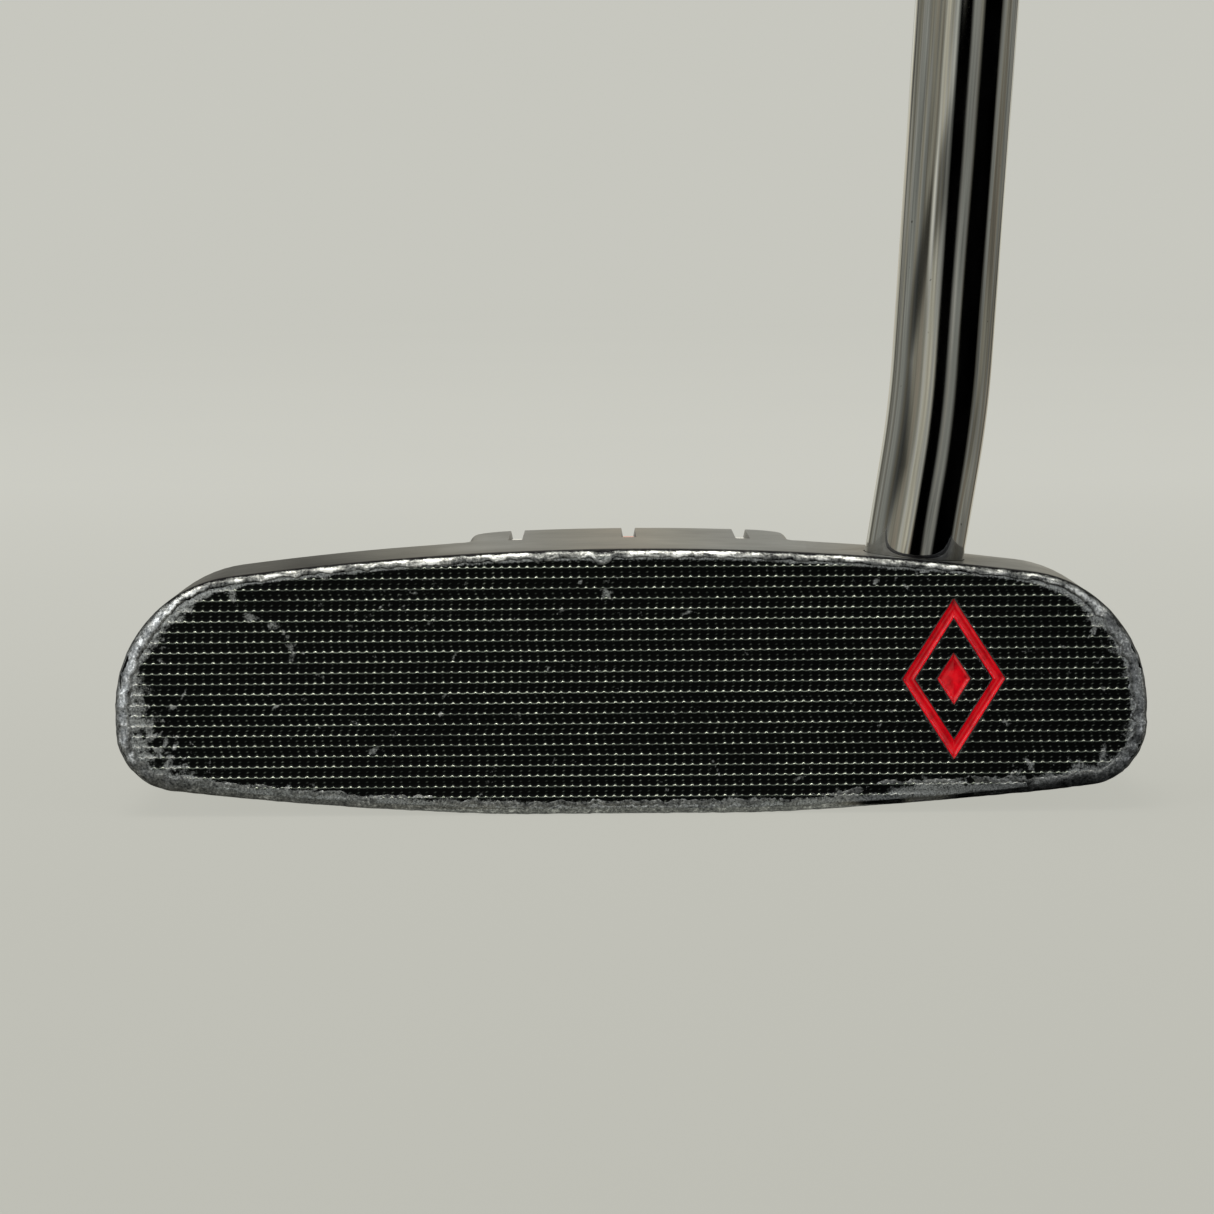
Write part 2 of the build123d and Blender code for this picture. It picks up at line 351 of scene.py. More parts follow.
@dataclass(frozen=True)
class TurnedBodySteel:
    """Black-oxide steel body, milled in fine passes along the head's length.

    The passes leave fine parallel lines from toe to heel, so at a low angle the satin
    black turns a soft grey.
    """

    film: str = "#5a5a58"
    light: str = "#7b7b78"
    pass_mm: float = 0.22
    cloud_mm: float = 1000 / 90

    def make(self) -> bpy.types.Material:
        """Builds the material on object coordinates, stretched along X."""
        material, tree, shader = new_material("black_oxide_satin_body_steel")
        place = add_node(tree, "ShaderNodeTexCoord").outputs["Object"]
        along = add_node(
            tree, "ShaderNodeMapping", {"Scale": (0.02, 1.0, 1.0)}, {"Vector": place}
        ).outputs[0]
        lines = add_node(
            tree,
            "ShaderNodeTexNoise",
            {"Scale": 1 / (self.pass_mm * MM), "Detail": 2.0},
            {"Vector": along},
        ).outputs["Fac"]
        cloud = add_node(
            tree,
            "ShaderNodeTexNoise",
            {"Scale": 1 / (self.cloud_mm * MM), "Detail": 5.0},
            {"Vector": place},
        ).outputs["Fac"]
        tone = add_node(
            tree, "ShaderNodeValToRGB", None, {0: lines},
            [(0.35, self.film), (0.7, self.light)],
        ).outputs[0]
        tree.links.new(tone, shader.inputs["Base Color"])
        shader.inputs["Metallic"].default_value = 1.0
        rough = add_node(
            tree, "ShaderNodeValToRGB", None, {0: cloud},
            [(0.35, 0.30), (0.7, 0.42)],
        ).outputs[0]
        tree.links.new(rough, shader.inputs["Roughness"])
        bump = add_node(
            tree, "ShaderNodeBump", {"Strength": 0.25, "Distance": 0.01 * MM}, {"Height": lines}
        )
        tree.links.new(bump.outputs[0], shader.inputs["Normal"])
        return material


@dataclass(frozen=True)
class ChromedTube:
    """Mirror chrome over a drawn steel tube, with faint wipe marks and rare pits."""

    tone: str = "#d4d5d2"
    wipe_mm: float = 4.0
    pit_mm: float = 0.7

    def make(self) -> bpy.types.Material:
        """Builds the material on object coordinates."""
        material, tree, shader = new_material("chromed_steel_tube")
        place = add_node(tree, "ShaderNodeTexCoord").outputs["Object"]
        along = add_node(
            tree, "ShaderNodeMapping", {"Scale": (1.0, 1.0, 0.12)}, {"Vector": place}
        ).outputs[0]
        wipe = add_node(
            tree,
            "ShaderNodeTexNoise",
            {"Scale": 1 / (self.wipe_mm * MM), "Detail": 6.0, "Roughness": 0.65},
            {"Vector": along},
        ).outputs["Fac"]
        pits = add_node(
            tree, "ShaderNodeTexNoise", {"Scale": 1 / (self.pit_mm * MM), "Detail": 2.0}, {"Vector": place}
        ).outputs["Fac"]
        rough = add_node(
            tree, "ShaderNodeValToRGB", None, {0: wipe},
            [(0.35, 0.035), (0.75, 0.11)],
        ).outputs[0]
        tree.links.new(rough, shader.inputs["Roughness"])
        tone = add_node(
            tree, "ShaderNodeValToRGB", None, {0: pits},
            [(0.19, "#8d8d88"), (0.25, self.tone)],
        ).outputs[0]
        tree.links.new(tone, shader.inputs["Base Color"])
        shader.inputs["Metallic"].default_value = 1.0
        bump = add_node(
            tree, "ShaderNodeBump", {"Strength": 0.06, "Distance": 0.05 * MM}, {"Height": wipe}
        )
        tree.links.new(bump.outputs[0], shader.inputs["Normal"])
        return material


@dataclass(frozen=True)
class PaintFill:
    """Glossy enamel flooded into a cut: bright, slightly uneven, with a wet highlight."""

    name: str
    colour: str
    deep: str
    uneven_mm: float = 0.9

    def make(self) -> bpy.types.Material:
        """Builds the material on object coordinates."""
        material, tree, shader = new_material(self.name)
        place = add_node(tree, "ShaderNodeTexCoord").outputs["Object"]
        uneven = add_node(
            tree,
            "ShaderNodeTexNoise",
            {"Scale": 1 / (self.uneven_mm * MM), "Detail": 3.0},
            {"Vector": place},
        ).outputs["Fac"]
        tone = add_node(
            tree, "ShaderNodeValToRGB", None, {0: uneven},
            [(0.3, self.deep), (0.6, self.colour)],
        ).outputs[0]
        tree.links.new(tone, shader.inputs["Base Color"])
        shader.inputs["Roughness"].default_value = 0.16
        shader.inputs["Coat Weight"].default_value = 0.6
        shader.inputs["Coat Roughness"].default_value = 0.08
        bump = add_node(
            tree, "ShaderNodeBump", {"Strength": 0.25, "Distance": 0.06 * MM}, {"Height": uneven}
        )
        tree.links.new(bump.outputs[0], shader.inputs["Normal"])
        return material


@dataclass(frozen=True)
class MouldedStock:
    """A moulded or spread material with a fine grain: rubber, plug plastic, tape, adhesive."""

    name: str
    colour: str
    shade: str
    grain_mm: float
    roughness: float
    relief_mm: float = 0.03

    def make(self) -> bpy.types.Material:
        """Builds the material on object coordinates."""
        material, tree, shader = new_material(self.name)
        place = add_node(tree, "ShaderNodeTexCoord").outputs["Object"]
        grain = add_node(
            tree,
            "ShaderNodeTexNoise",
            {"Scale": 1 / (self.grain_mm * MM), "Detail": 4.0, "Roughness": 0.6},
            {"Vector": place},
        ).outputs["Fac"]
        tone = add_node(
            tree, "ShaderNodeValToRGB", None, {0: grain},
            [(0.3, self.shade), (0.7, self.colour)],
        ).outputs[0]
        tree.links.new(tone, shader.inputs["Base Color"])
        shader.inputs["Roughness"].default_value = self.roughness
        bump = add_node(
            tree, "ShaderNodeBump", {"Strength": 0.4, "Distance": self.relief_mm * MM}, {"Height": grain}
        )
        tree.links.new(bump.outputs[0], shader.inputs["Normal"])
        return material


# ---------------------------------------------------------------- head


@dataclass
class FaceOutline:
    """The face seen from the front: cambered topline and sole, rounded corners.

    Sizes are millimetres in the plane of the face; X is across and Z is up.
    """

    half_width: float = 48.4
    height: float = 24.8
    top_radius: float = 300.0
    sole_radius: float = 363.0
    upper_corner: float = 12.3
    lower_corner: float = 5.9
    pad_width: float = 20.0
    lead_y: float = -22.0
    loft: float = math.radians(3.5)

    def corner_centres(self) -> tuple[tuple[float, float], tuple[float, float]]:
        """Centres of the upper and the lower corner arc at the heel.

        Each lies one corner radius in from the end and one inside the long arc.
        """
        sag = self.pad_width**2 / (8 * self.sole_radius)
        upper_x = self.half_width - self.upper_corner
        inner = self.top_radius - self.upper_corner
        upper_z = self.height - self.top_radius + math.sqrt(inner**2 - upper_x**2)
        lower_x = self.half_width - self.lower_corner
        inner = self.sole_radius - self.lower_corner
        lower_z = self.sole_radius - sag - math.sqrt(inner**2 - lower_x**2)
        return (upper_x, upper_z), (lower_x, lower_z)

    def top(self, x: np.ndarray) -> np.ndarray:
        """Height of the upper edge: the long arc, then the corner arc."""
        (cx, cz), _ = self.corner_centres()
        x = np.abs(x)
        arc = self.height - self.top_radius + np.sqrt(self.top_radius**2 - x**2)
        reach = np.clip(x - cx, 0, self.upper_corner)
        corner = cz + np.sqrt(self.upper_corner**2 - reach**2)
        lean = cx / (self.top_radius - self.upper_corner) * self.upper_corner
        return np.where(x < cx + lean, arc, corner)

    def bottom(self, x: np.ndarray) -> np.ndarray:
        """Height of the lower edge: the pad, the long arc, then the corner arc."""
        _, (cx, cz) = self.corner_centres()
        x = np.abs(x)
        sag = self.pad_width**2 / (8 * self.sole_radius)
        arc = np.maximum(self.sole_radius - sag - np.sqrt(self.sole_radius**2 - x**2), 0)
        reach = np.clip(x - cx, 0, self.lower_corner)
        corner = cz - np.sqrt(self.lower_corner**2 - reach**2)
        lean = cx / (self.sole_radius - self.lower_corner) * self.lower_corner
        return np.where(x < cx + lean, arc, corner)

    def gap(self, x: np.ndarray, z: np.ndarray) -> np.ndarray:
        """Distance in from the outline: the least of those to its arcs and its ends."""
        (ux, uz), (lx, lz) = self.corner_centres()
        x = np.abs(x)
        sag = self.pad_width**2 / (8 * self.sole_radius)
        over = self.top_radius - np.hypot(x, z - self.height + self.top_radius)
        under = self.sole_radius - np.hypot(x, z - self.sole_radius + sag)
        least = np.minimum(np.minimum(over, under), self.half_width - x)
        upper = self.upper_corner - np.hypot(x - ux, z - uz)
        lower = self.lower_corner - np.hypot(x - lx, z - lz)
        least = np.where((x > ux) & (z > uz), np.minimum(least, upper), least)
        return np.where((x > lx) & (z < lz), np.minimum(least, lower), least)

    def loop(self, spacing: float) -> tuple[np.ndarray, np.ndarray]:
        """Evenly spaced points round the outline, anticlockwise from the front.

        Args:
            spacing: distance between points.

        Returns:
            Points and outward normals, each N by 2.
        """
        fine = np.linspace(-1, 1, 4001)
        x = self.half_width * np.sin(fine * math.pi / 2)
        upper = np.stack([x[::-1], self.top(x[::-1])], 1)
        lower = np.stack([x, self.bottom(x)], 1)
        path = np.concatenate([lower, upper])
        keep = np.r_[True, np.hypot(*np.diff(path, axis=0).T) > 1e-6]
        path = path[keep]
        ends = np.vstack([path, path[:1]])
        run = np.r_[0, np.cumsum(np.hypot(*np.diff(ends, axis=0).T))]
        count = int(run[-1] / spacing)
        at = np.arange(count) * run[-1] / count
        points = np.stack([np.interp(at, run, ends[:, k]) for k in (0, 1)], 1)
        tangent = np.roll(points, -3, 0) - np.roll(points, 3, 0)
        tangent /= np.hypot(*tangent.T)[:, None]
        return points, np.stack([tangent[:, 1], -tangent[:, 0]], 1)

    def place(self, x: np.ndarray, z: np.ndarray, out: np.ndarray) -> np.ndarray:
        """Puts face coordinates into the part's frame.

        Args:
            x: across the face.
            z: height above the sole.
            out: distance out of the face plane.

        Returns:
            N by 3 array in metres.
        """
        y = self.lead_y + z * math.tan(self.loft) - out * math.cos(self.loft)
        return np.stack(np.broadcast_arrays(x, y, z + out * math.sin(self.loft)), -1) * MM


@dataclass
class MakersMark:
    """The lozenge mark: a tall ring and a small solid lozenge inside it."""

    x: float = 30.2
    z: float = 12.5
    width: float = 9.6
    tall: float = 15.0
    stroke: float = 0.95
    core: float = 0.42

    def distances(self, x: np.ndarray, z: np.ndarray) -> tuple[np.ndarray, float]:
        """Signed distance to the lozenge's outer edge, and the half height across a side.

        A lozenge is |x| / half width + |z| / half height = 1; scaled by its inradius this
        is a distance.
        """
        a, b = self.width / 2, self.tall / 2
        inradius = a * b / math.hypot(a, b)
        return (np.abs(x - self.x) / a + np.abs(z - self.z) / b - 1) * inradius, inradius

    def inside(self, x: np.ndarray, z: np.ndarray) -> np.ndarray:
        """How far a point lies inside the strokes, in millimetres; negative outside."""
        edge, inradius = self.distances(x, z)
        ring = self.stroke / 2 - np.abs(edge + self.stroke / 2)
        core_edge = (inradius - self.stroke) * self.core - (inradius + edge)
        return np.maximum(ring, core_edge)


@dataclass
class MilledFace:
    """The face: rows of cutter marks 0.975 mm apart, with a crest every 0.8 mm.

    The grid follows the marks.  Up each row the height out of the face falls at a narrow
    upward ledge and comes forward again over the land.  The ledge line rises to a cusp at
    each cutter mark, as one minus the size of a sine, and each cusp carries a small round
    crest, with a weaker one half a row above it.
    """

    outline: FaceOutline
    mark: MakersMark
    row: float = 0.975
    start: float = -0.30
    feed: float = 0.80
    land: float = 0.11
    cusp: float = 0.15
    crest: float = 0.045
    drift: float = 0.17
    inset: float = 0.55
    thick: float = 0.35
    lift: float = 0.02
    rim_top: float = 0.8
    rim_end: float = 1.35
    under_rim: float = 0.40
    per_feed: int = 4
    scratches: int = 110
    # per step up a row: phase, land height, strength of the bright ledge line and of the cusp dot; the line
    # and dot strengths make the crest value, rubbed film with painted highlights, and the dot strength also
    # raises the cusp crests
    phases: tuple = (0.0, 0.05, 0.12, 0.44, 0.56, 0.68, 0.93)
    heights: tuple = (1.0, 0.5, 0.0, 0.36, 0.50, 0.64, 0.92)
    lines: tuple = (0.43, 0.33, 0.06, 0.0, 0.0, 0.0, 0.05)
    dots: tuple = (0.9, 0.9, 0.45, 0.10, 0.85, 0.10, 0.35)

    def wear(self, x: np.ndarray, z: np.ndarray) -> np.ndarray:
        """Where knocks and rubbing have bared the metal, from 0 to 1.

        Strongest by the ends and the sole, with a rubbed patch at the lower toe, a
        slanting scrape at the upper toe, short random scratches and fields of specks.
        """
        low_gap = z - self.outline.bottom(x)
        near_top = smooth_step(15, 20, z) * (1 - smooth_step(34, 45, np.abs(x)))
        gap = self.outline.gap(x, z) + 1.1 * near_top
        rough = ridge_noise(x * 0.9, z * 1.3, 3)
        at_ends = smooth_step(36, 44, np.abs(x))
        reach = 0.75 + 0.75 * at_ends
        bare = 0.70 * np.exp(-np.clip(gap - 1.1 - 0.4 * at_ends, 0, None) / reach) * (0.25 + 1.1 * rough)
        toe = np.exp(-(((x + 45.2) / 3.6) ** 2) - (((z - 8.0) / 5.5) ** 2))
        bare += 0.42 * toe * smooth_step(0.30, 0.62, ridge_noise(x * 1.4, z * 1.4, 9))
        melt = np.exp(-(((x - 27.5) / 8.5) ** 4) - ((np.clip(low_gap - 0.6, 0, None) / 1.3) ** 2))
        bare += 0.55 * melt * smooth_step(0.3, 0.55, ridge_noise(x * 0.7, z * 0.9, 77))
        slant = (x + 34.3) * 0.664 + (z - 18.1) * 0.748
        off = (x + 34.3) * 0.748 - (z - 18.1) * 0.664
        smear = np.exp(-((off / 6.2) ** 4) - ((slant - 0.5 * np.sin(off * 0.9)) / 0.75) ** 2)
        bare += 0.72 * smear * smooth_step(0.25, 0.65, ridge_noise(x * 1.3 + 5, z * 1.3, 15))
        rng = np.random.default_rng(SEED)
        for _ in range(self.scratches):
            cx, cz = rng.uniform(-46, 46), rng.uniform(2.5, 22.5)
            turn, length = rng.uniform(-1.5, 1.5), rng.uniform(0.3, 2.2)
            width, force = rng.uniform(0.10, 0.34), rng.uniform(0.25, 0.62)
            along = (x - cx) * math.cos(turn) + (z - cz) * math.sin(turn)
            across = (z - cz) * math.cos(turn) - (x - cx) * math.sin(turn)
            bare += force * np.exp(-((along / length * 2) ** 2) - (across / width) ** 2)
        fields = smooth_step(0.45, 0.72, ridge_noise(x * 0.20 + 7, z * 0.33, 21))
        bare += 0.50 * fields * smooth_step(0.50, 0.76, ridge_noise(x * 1.9, z * 2.4, 33))
        return np.clip(bare, 0, 1)

    def grid(self) -> tuple[np.ndarray, np.ndarray, np.ndarray, np.ndarray]:
        """Places of the grid's points on the face, before it is trimmed.

        Each row's line has its own small drift along the head.  Between two rows, the
        drift and the cusps blend smoothly from one row's to the next.

        Returns:
            Across, height, relief and crest value, each columns by rows; the crest value is rubbed film
            with painted highlights.
        """
        columns = 2 * int(self.outline.half_width / self.feed * self.per_feed) + 1
        i = np.arange(columns)[:, None] - (columns - 1) // 2
        count = len(self.phases)
        k = np.repeat(np.arange(math.ceil(self.outline.height / self.row) + 2), count)[None, :]
        p = np.tile(np.array(self.phases), k.size // count)[None, :]
        blend = smooth_step(0.15, 0.9, p)
        cell, step = np.floor_divide(i + self.per_feed // 2, self.per_feed), i / self.per_feed

        def chance(a: np.ndarray, b: np.ndarray, scale: float) -> np.ndarray:
            """Random value of each pair, from the fraction of a large sine."""
            return np.mod(np.sin(a * 78.233 + b * 37.719 + scale) * 5371.317, 1.0)

        shift = self.drift * (2 * chance(k, k, 1.0) - 1)
        after = self.drift * (2 * chance(k + 1, k + 1, 1.0) - 1)
        x = i * self.feed / self.per_feed + shift * (1 - blend) + after * blend
        wave = self.cusp * (1 - np.abs(np.sin(math.pi * step)))
        z = self.start + self.row * (k + p + wave * (1 - 0.6 * np.sin(math.pi * p)) ** 2)
        spot = np.exp(-(((step - cell) * self.feed / 0.13) ** 2))
        height = np.tile(self.heights, k.size // count)[None, :]
        dot = np.tile(self.dots, k.size // count)[None, :]
        line = np.tile(self.lines, k.size // count)[None, :]
        relief = self.land * height + self.crest * dot * spot
        middle = (p > 0.2) & (p < 0.9)
        force = np.where(middle, 0.45 + 0.5 * chance(cell, k, 5.0), 0.35 + 0.65 * chance(cell, k, 9.0))
        patch = 0.75 + 0.5 * ridge_noise(x * 0.12, z * 0.3, 91)
        faint = 0.85 + 0.3 * chance(k, k, 3.0)
        # crest value: bright ledge lines and cusp dots, partly rubbed film and partly painted highlights
        # where the ledges face the light above
        crest = (line * faint + dot * spot * force * 0.9) * patch
        return x, z, relief, np.clip(crest, 0, 1)

    def build(self, finish: bpy.types.Material) -> bpy.types.Object:
        """Builds the closed face panel.

        The grid's columns run up the face; points beyond the outline are pulled onto it,
        and faces that this flattens are dropped.  A rim and a back close the panel.
        """
        reach = self.outline.half_width - self.inset
        x, z, relief, crest = self.grid()
        inside = np.abs(x[:, 0]) < reach - self.drift
        x, z, relief, crest = x[inside], z[inside], relief[inside], crest[inside]
        x[0], x[-1] = -reach, reach
        low = self.outline.bottom(x) + self.inset
        high = self.outline.top(x) - self.inset
        columns, rows = x.shape
        first = (z < low).sum(1) - 1
        last = rows - (z > high).sum(1)
        j = np.clip(np.arange(rows)[None, :], first[:, None], last[:, None])
        i = np.arange(columns)[:, None]
        xx, relief, crest = x[i, j], relief[i, j], crest[i, j]
        zz = np.clip(z[i, j], low[i, j], high[i, j])
        cut = smooth_step(-0.12, 0.08, self.mark.inside(xx, zz))
        at_ends = smooth_step(35, 45, np.abs(xx))
        rim = self.rim_top + (self.rim_end - self.rim_top) * at_ends
        gap = self.outline.gap(xx, zz)
        fade = smooth_step(rim * 0.75, rim + 0.45, gap)
        sink = 1 - smooth_step(rim * 0.40, rim * 0.75, gap)
        out = self.lift + relief * (1 - cut) * fade - 0.45 * cut - self.under_rim * sink
        index = i * rows + j
        quads = np.stack(
            [index[:-1, :-1], index[1:, :-1], index[1:, 1:], index[:-1, 1:]], -1
        ).reshape(-1, 4)
        flat = (quads[:, 0] == quads[:, 3]) & (quads[:, 1] == quads[:, 2])
        quads = quads[~flat]
        left = quads[:, 0] == quads[:, 3]
        right = quads[:, 1] == quads[:, 2]
        full = quads[~left & ~right]
        thirds = np.concatenate([quads[left][:, [0, 1, 2]], quads[right][:, [0, 1, 3]]])
        right_rim = np.unique(index[-1])[1:-1]
        left_rim = np.unique(index[0])[1:-1]
        loop = np.concatenate([index[:, 0], right_rim, index[::-1, -1], left_rim[::-1]])
        front = self.outline.place(xx.ravel(), zz.ravel(), out.ravel())
        back = self.outline.place(xx.ravel()[loop], zz.ravel()[loop], np.full(len(loop), -self.thick))
        middle = self.outline.place(np.array([0.0]), np.array([12.0]), np.array([-self.thick]))
        points = np.concatenate([front, back, middle])
        first_back = len(front)
        here = np.arange(len(loop)) + first_back
        ahead = np.roll(here, -1)
        rim = np.stack([loop, here, ahead, np.roll(loop, -1)], -1)
        fan = np.stack([here, np.full(len(loop), first_back + len(loop)), ahead], -1)
        groups = (full, thirds, rim, fan)
        used, packed = np.unique(np.concatenate([g.ravel() for g in groups]), return_inverse=True)
        parts = np.split(packed, np.cumsum([g.size for g in groups])[:-1])
        faces = [part.reshape(group.shape) for part, group in zip(parts, groups)]
        piece = mesh_piece("milled_face", points[used], faces, finish)
        hidden = np.zeros(len(loop) + 1)
        # crest carries rubbed film and painted highlights to the finish
        set_attribute(piece, "crest", np.concatenate([(crest * (1 - cut)).ravel(), hidden])[used])
        bare = np.clip(self.wear(xx, zz) + 0.7 * (1 - fade), 0, 1) * (1 - cut)
        set_attribute(piece, "bare", np.concatenate([bare.ravel(), hidden])[used])
        return piece


@dataclass
class WornEdge:
    """The rounded, rubbed rim between the face and the outside of the head.

    A section is carried round the face outline: a quarter ellipse from the face to the
    outside, a short flat behind it, and a return inside the metal.  Its width grows from
    the topline to the ends and the sole, and dents and chips wander along it.
    """

    outline: FaceOutline
    top_width: float = 0.75
    side_width: float = 1.5
    sole_width: float = 1.35
    skirt: float = 2.1
    tuck: float = 0.35
    proud: float = 0.05
    melt_x: float = 27.5
    melt_reach: float = 8.0
    melt_width: float = 0.9
    pits: tuple = (22.9, 27.1, 31.4)
    pit_radius: float = 0.5
    spacing: float = 0.28
    arc_steps: int = 12

    def build(self, finish: bpy.types.Material) -> bpy.types.Object:
        """Builds the closed rim band and its wear values."""
        path, normal = self.outline.loop(self.spacing)
        up = smooth_step(0.55, 0.97, normal[:, 1])
        down = smooth_step(0.55, 0.97, -normal[:, 1])
        width = self.side_width * (1 - up - down) + self.top_width * up + self.sole_width * down
        run = np.arange(len(path)) * self.spacing
        ragged = ridge_noise(run * 1.3, run * 0 + 2, 5, 4) - 0.5
        width = width * (1 + 0.75 * ragged)
        chips = smooth_step(0.66, 0.86, ridge_noise(run * 0.33, run * 0 + 9, 17, 4))
        width = width + 0.55 * chips * up
        melt = np.exp(-(((path[:, 0] - self.melt_x) / self.melt_reach) ** 4)) * down
        width = width + self.melt_width * melt
        pits = sum(np.exp(-(((path[:, 0] - x) / self.pit_radius) ** 2)) for x in self.pits) * down
        depth = np.minimum(width * 0.85, self.skirt - 0.4)
        angle = np.linspace(0, math.pi / 2, self.arc_steps)
        inset = width[:, None] * (1 - np.sin(angle))[None, :]
        back = depth[:, None] * (1 - np.cos(angle))[None, :]
        wobble = ridge_noise(run[:, None] * 1.6, np.broadcast_to(angle * 2.6, inset.shape) + 4, 41, 4) - 0.5
        hollow = np.sin(2 * angle)[None, :]
        dent = (0.07 + 0.16 * melt)[:, None] * wobble * hollow * (1 - 0.3 * up)[:, None]
        dent = dent + 0.28 * pits[:, None] * hollow
        inset = inset + dent - self.proud
        back = back + dent - self.proud * np.cos(angle)[None, :] - 0.06 * np.cos(angle)[None, :]
        count = len(path)
        inner = width + self.tuck
        tail_inset = np.stack([np.full(count, -self.proud), np.full(count, 0.5), inner, inner], 1)
        tail_back = np.tile([self.skirt, self.skirt, 0.9, 0.3], (count, 1))
        inset = np.concatenate([inset, tail_inset], 1)
        back = np.concatenate([back, tail_back], 1)
        x = path[:, 0:1] - normal[:, 0:1] * inset
        z = path[:, 1:2] - normal[:, 1:2] * inset
        points = self.outline.place(x, z, -back).reshape(-1, 3)
        sides = inset.shape[1]
        piece = mesh_piece("worn_rim", points, [ring_faces(count, sides, True)], finish)
        share = np.concatenate([np.linspace(0, 1, self.arc_steps), [1.0, 1.0, 1.0, 1.0]])
        rough = ridge_noise(run[:, None] * 1.3, share[None, :] * 3.0, 51)
        broken = smooth_step(0.25, 0.75, ridge_noise(run[:, None] * 0.8, share[None, :] * 4.0, 57))
        top_bare = np.exp(-(((share[None, :] - 0.26) / 0.30) ** 4)) * (0.40 + 0.75 * broken)
        side_bare = np.exp(-(((share[None, :] - 0.36) / 0.52) ** 4)) * (0.42 + 0.40 * rough)
        bare = top_bare * up[:, None] + side_bare * (1 - up)[:, None]
        bare[:, : self.arc_steps] *= 1 - 0.9 * np.clip(pits[:, None] * hollow, 0, 1)
        set_attribute(piece, "bare", np.clip(bare, 0, 1).ravel())
        return piece


@dataclass
class Head:
    """The milled head: body, face, worn rim and the enamel in its cuts."""

    outline: FaceOutline = field(default_factory=FaceOutline)
    mark: MakersMark = field(default_factory=MakersMark)
    edge_break: float = 0.22
    enamel_rim: float = -0.06
    enamel_dish: float = 0.30
    enamel_floor: float = 0.45
    enamel_steps: int = 48

    def build_body(self, finish: bpy.types.Material) -> bpy.types.Object:
        """Copies the head's own mesh, joins its triangles and rounds its sharp edges."""
        source = frame["nodes"]["head_body"]
        mesh = source.data.copy()
        mesh.name = "head_shell"
        cleaner = bmesh.new()
        cleaner.from_mesh(mesh)
        bmesh.ops.remove_doubles(cleaner, verts=cleaner.verts, dist=1e-6)
        bmesh.ops.dissolve_limit(
            cleaner, angle_limit=math.radians(0.4), verts=cleaner.verts, edges=cleaner.edges
        )
        cleaner.to_mesh(mesh)
        cleaner.free()
        mesh.materials.clear()
        mesh.materials.append(finish)
        piece = bpy.data.objects.new("head_shell", mesh)
        bpy.context.scene.collection.objects.link(piece)
        bevel = piece.modifiers.new("edge_break", "BEVEL")
        bevel.width = self.edge_break * MM
        bevel.segments = 3
        bevel.limit_method = "ANGLE"
        bevel.angle_limit = math.radians(38)
        bevel.use_clamp_overlap = True
        bevel.harden_normals = True
        mesh.polygons.foreach_set("use_smooth", np.ones(len(mesh.polygons), bool))
        mesh.set_sharp_from_angle(angle=math.radians(38))
        return piece

    def build_enamel(self, finish: bpy.types.Material) -> bpy.types.Object:
        """Builds the enamel of the mark, dished in its cuts as paint dries.

        A lozenge is a loop t with |x| / a + |z| / b = 1, and a scaled lozenge lies
        parallel to it.  The ring's surface is P(t, q) = lozenge(t) times a scale that
        falls from the outer to the inner edge with q, at a depth of a half ellipse over
        q.  The core is the same from its edge to its middle.  Undersides are flat.
        """
        a, b = self.mark.width / 2, self.mark.tall / 2
        scale = 1 - self.mark.stroke * math.hypot(a, b) / (a * b)
        side = np.linspace(0, 1, self.enamel_steps, endpoint=False)
        corners = np.array([[a, 0], [0, b], [-a, 0], [0, -b]])
        ahead = np.roll(corners, -1, 0)
        loop = (corners[:, None] + (ahead - corners)[:, None] * side[None, :, None]).reshape(-1, 2)
        q = (1 - np.cos(np.linspace(0, math.pi, 13))) / 2
        ring_scale = 1 - q * (1 - scale)
        ring_depth = -self.enamel_rim - self.enamel_dish * np.sqrt(np.clip(1 - (2 * q - 1) ** 2, 0, 1))
        ring_scale = np.concatenate([ring_scale, [scale, 1.0]])
        ring_depth = np.concatenate([ring_depth, [-self.enamel_floor, -self.enamel_floor]])
        core = scale * self.mark.core * np.array([1.0, 1.0, 0.93, 0.82, 0.66, 0.45, 0.2])
        core_depth = -self.enamel_rim - self.enamel_dish * np.array([0.0, 0.0, 0.5, 0.8, 0.95, 1.0, 1.0])
        core_depth[0] = -self.enamel_floor
        count = len(loop)
        x = self.mark.x + loop[:, 0:1] * np.concatenate([ring_scale, core])[None, :]
        z = self.mark.z + loop[:, 1:2] * np.concatenate([ring_scale, core])[None, :]
        out = np.broadcast_to(np.concatenate([ring_depth, core_depth])[None, :], x.shape)
        out = out + 0.03 * (ridge_noise(x * 1.4, z * 1.4, 61) - 0.5) * (out > -self.enamel_floor)
        poles_x, poles_z = np.full(2, self.mark.x), np.full(2, self.mark.z)
        poles = self.outline.place(
            poles_x, poles_z, np.array([-self.enamel_rim - self.enamel_dish, -self.enamel_floor])
        )
        points = np.concatenate([self.outline.place(x, z, out).reshape(-1, 3), poles])
        wide, first = x.shape[1], len(ring_scale)
        ring_quads = ring_faces(count, first, True)
        ring_quads = ring_quads // first * wide + ring_quads % first
        here = np.arange(count) * wide
        following = np.roll(here, -1)
        column = np.arange(first, wide - 1)
        core_quads = np.stack(
            [
                here[:, None] + column,
                following[:, None] + column,
                following[:, None] + column + 1,
                here[:, None] + column + 1,
            ],
            -1,
        ).reshape(-1, 4)
        last = wide - 1
        top_fan = np.stack([here + last, following + last, np.full(count, count * wide)], -1)
        low_fan = np.stack([following + first, here + first, np.full(count, count * wide + 1)], -1)
        faces = [ring_quads, core_quads, top_fan, low_fan]
        return mesh_piece("mark_enamel", points, faces, finish)

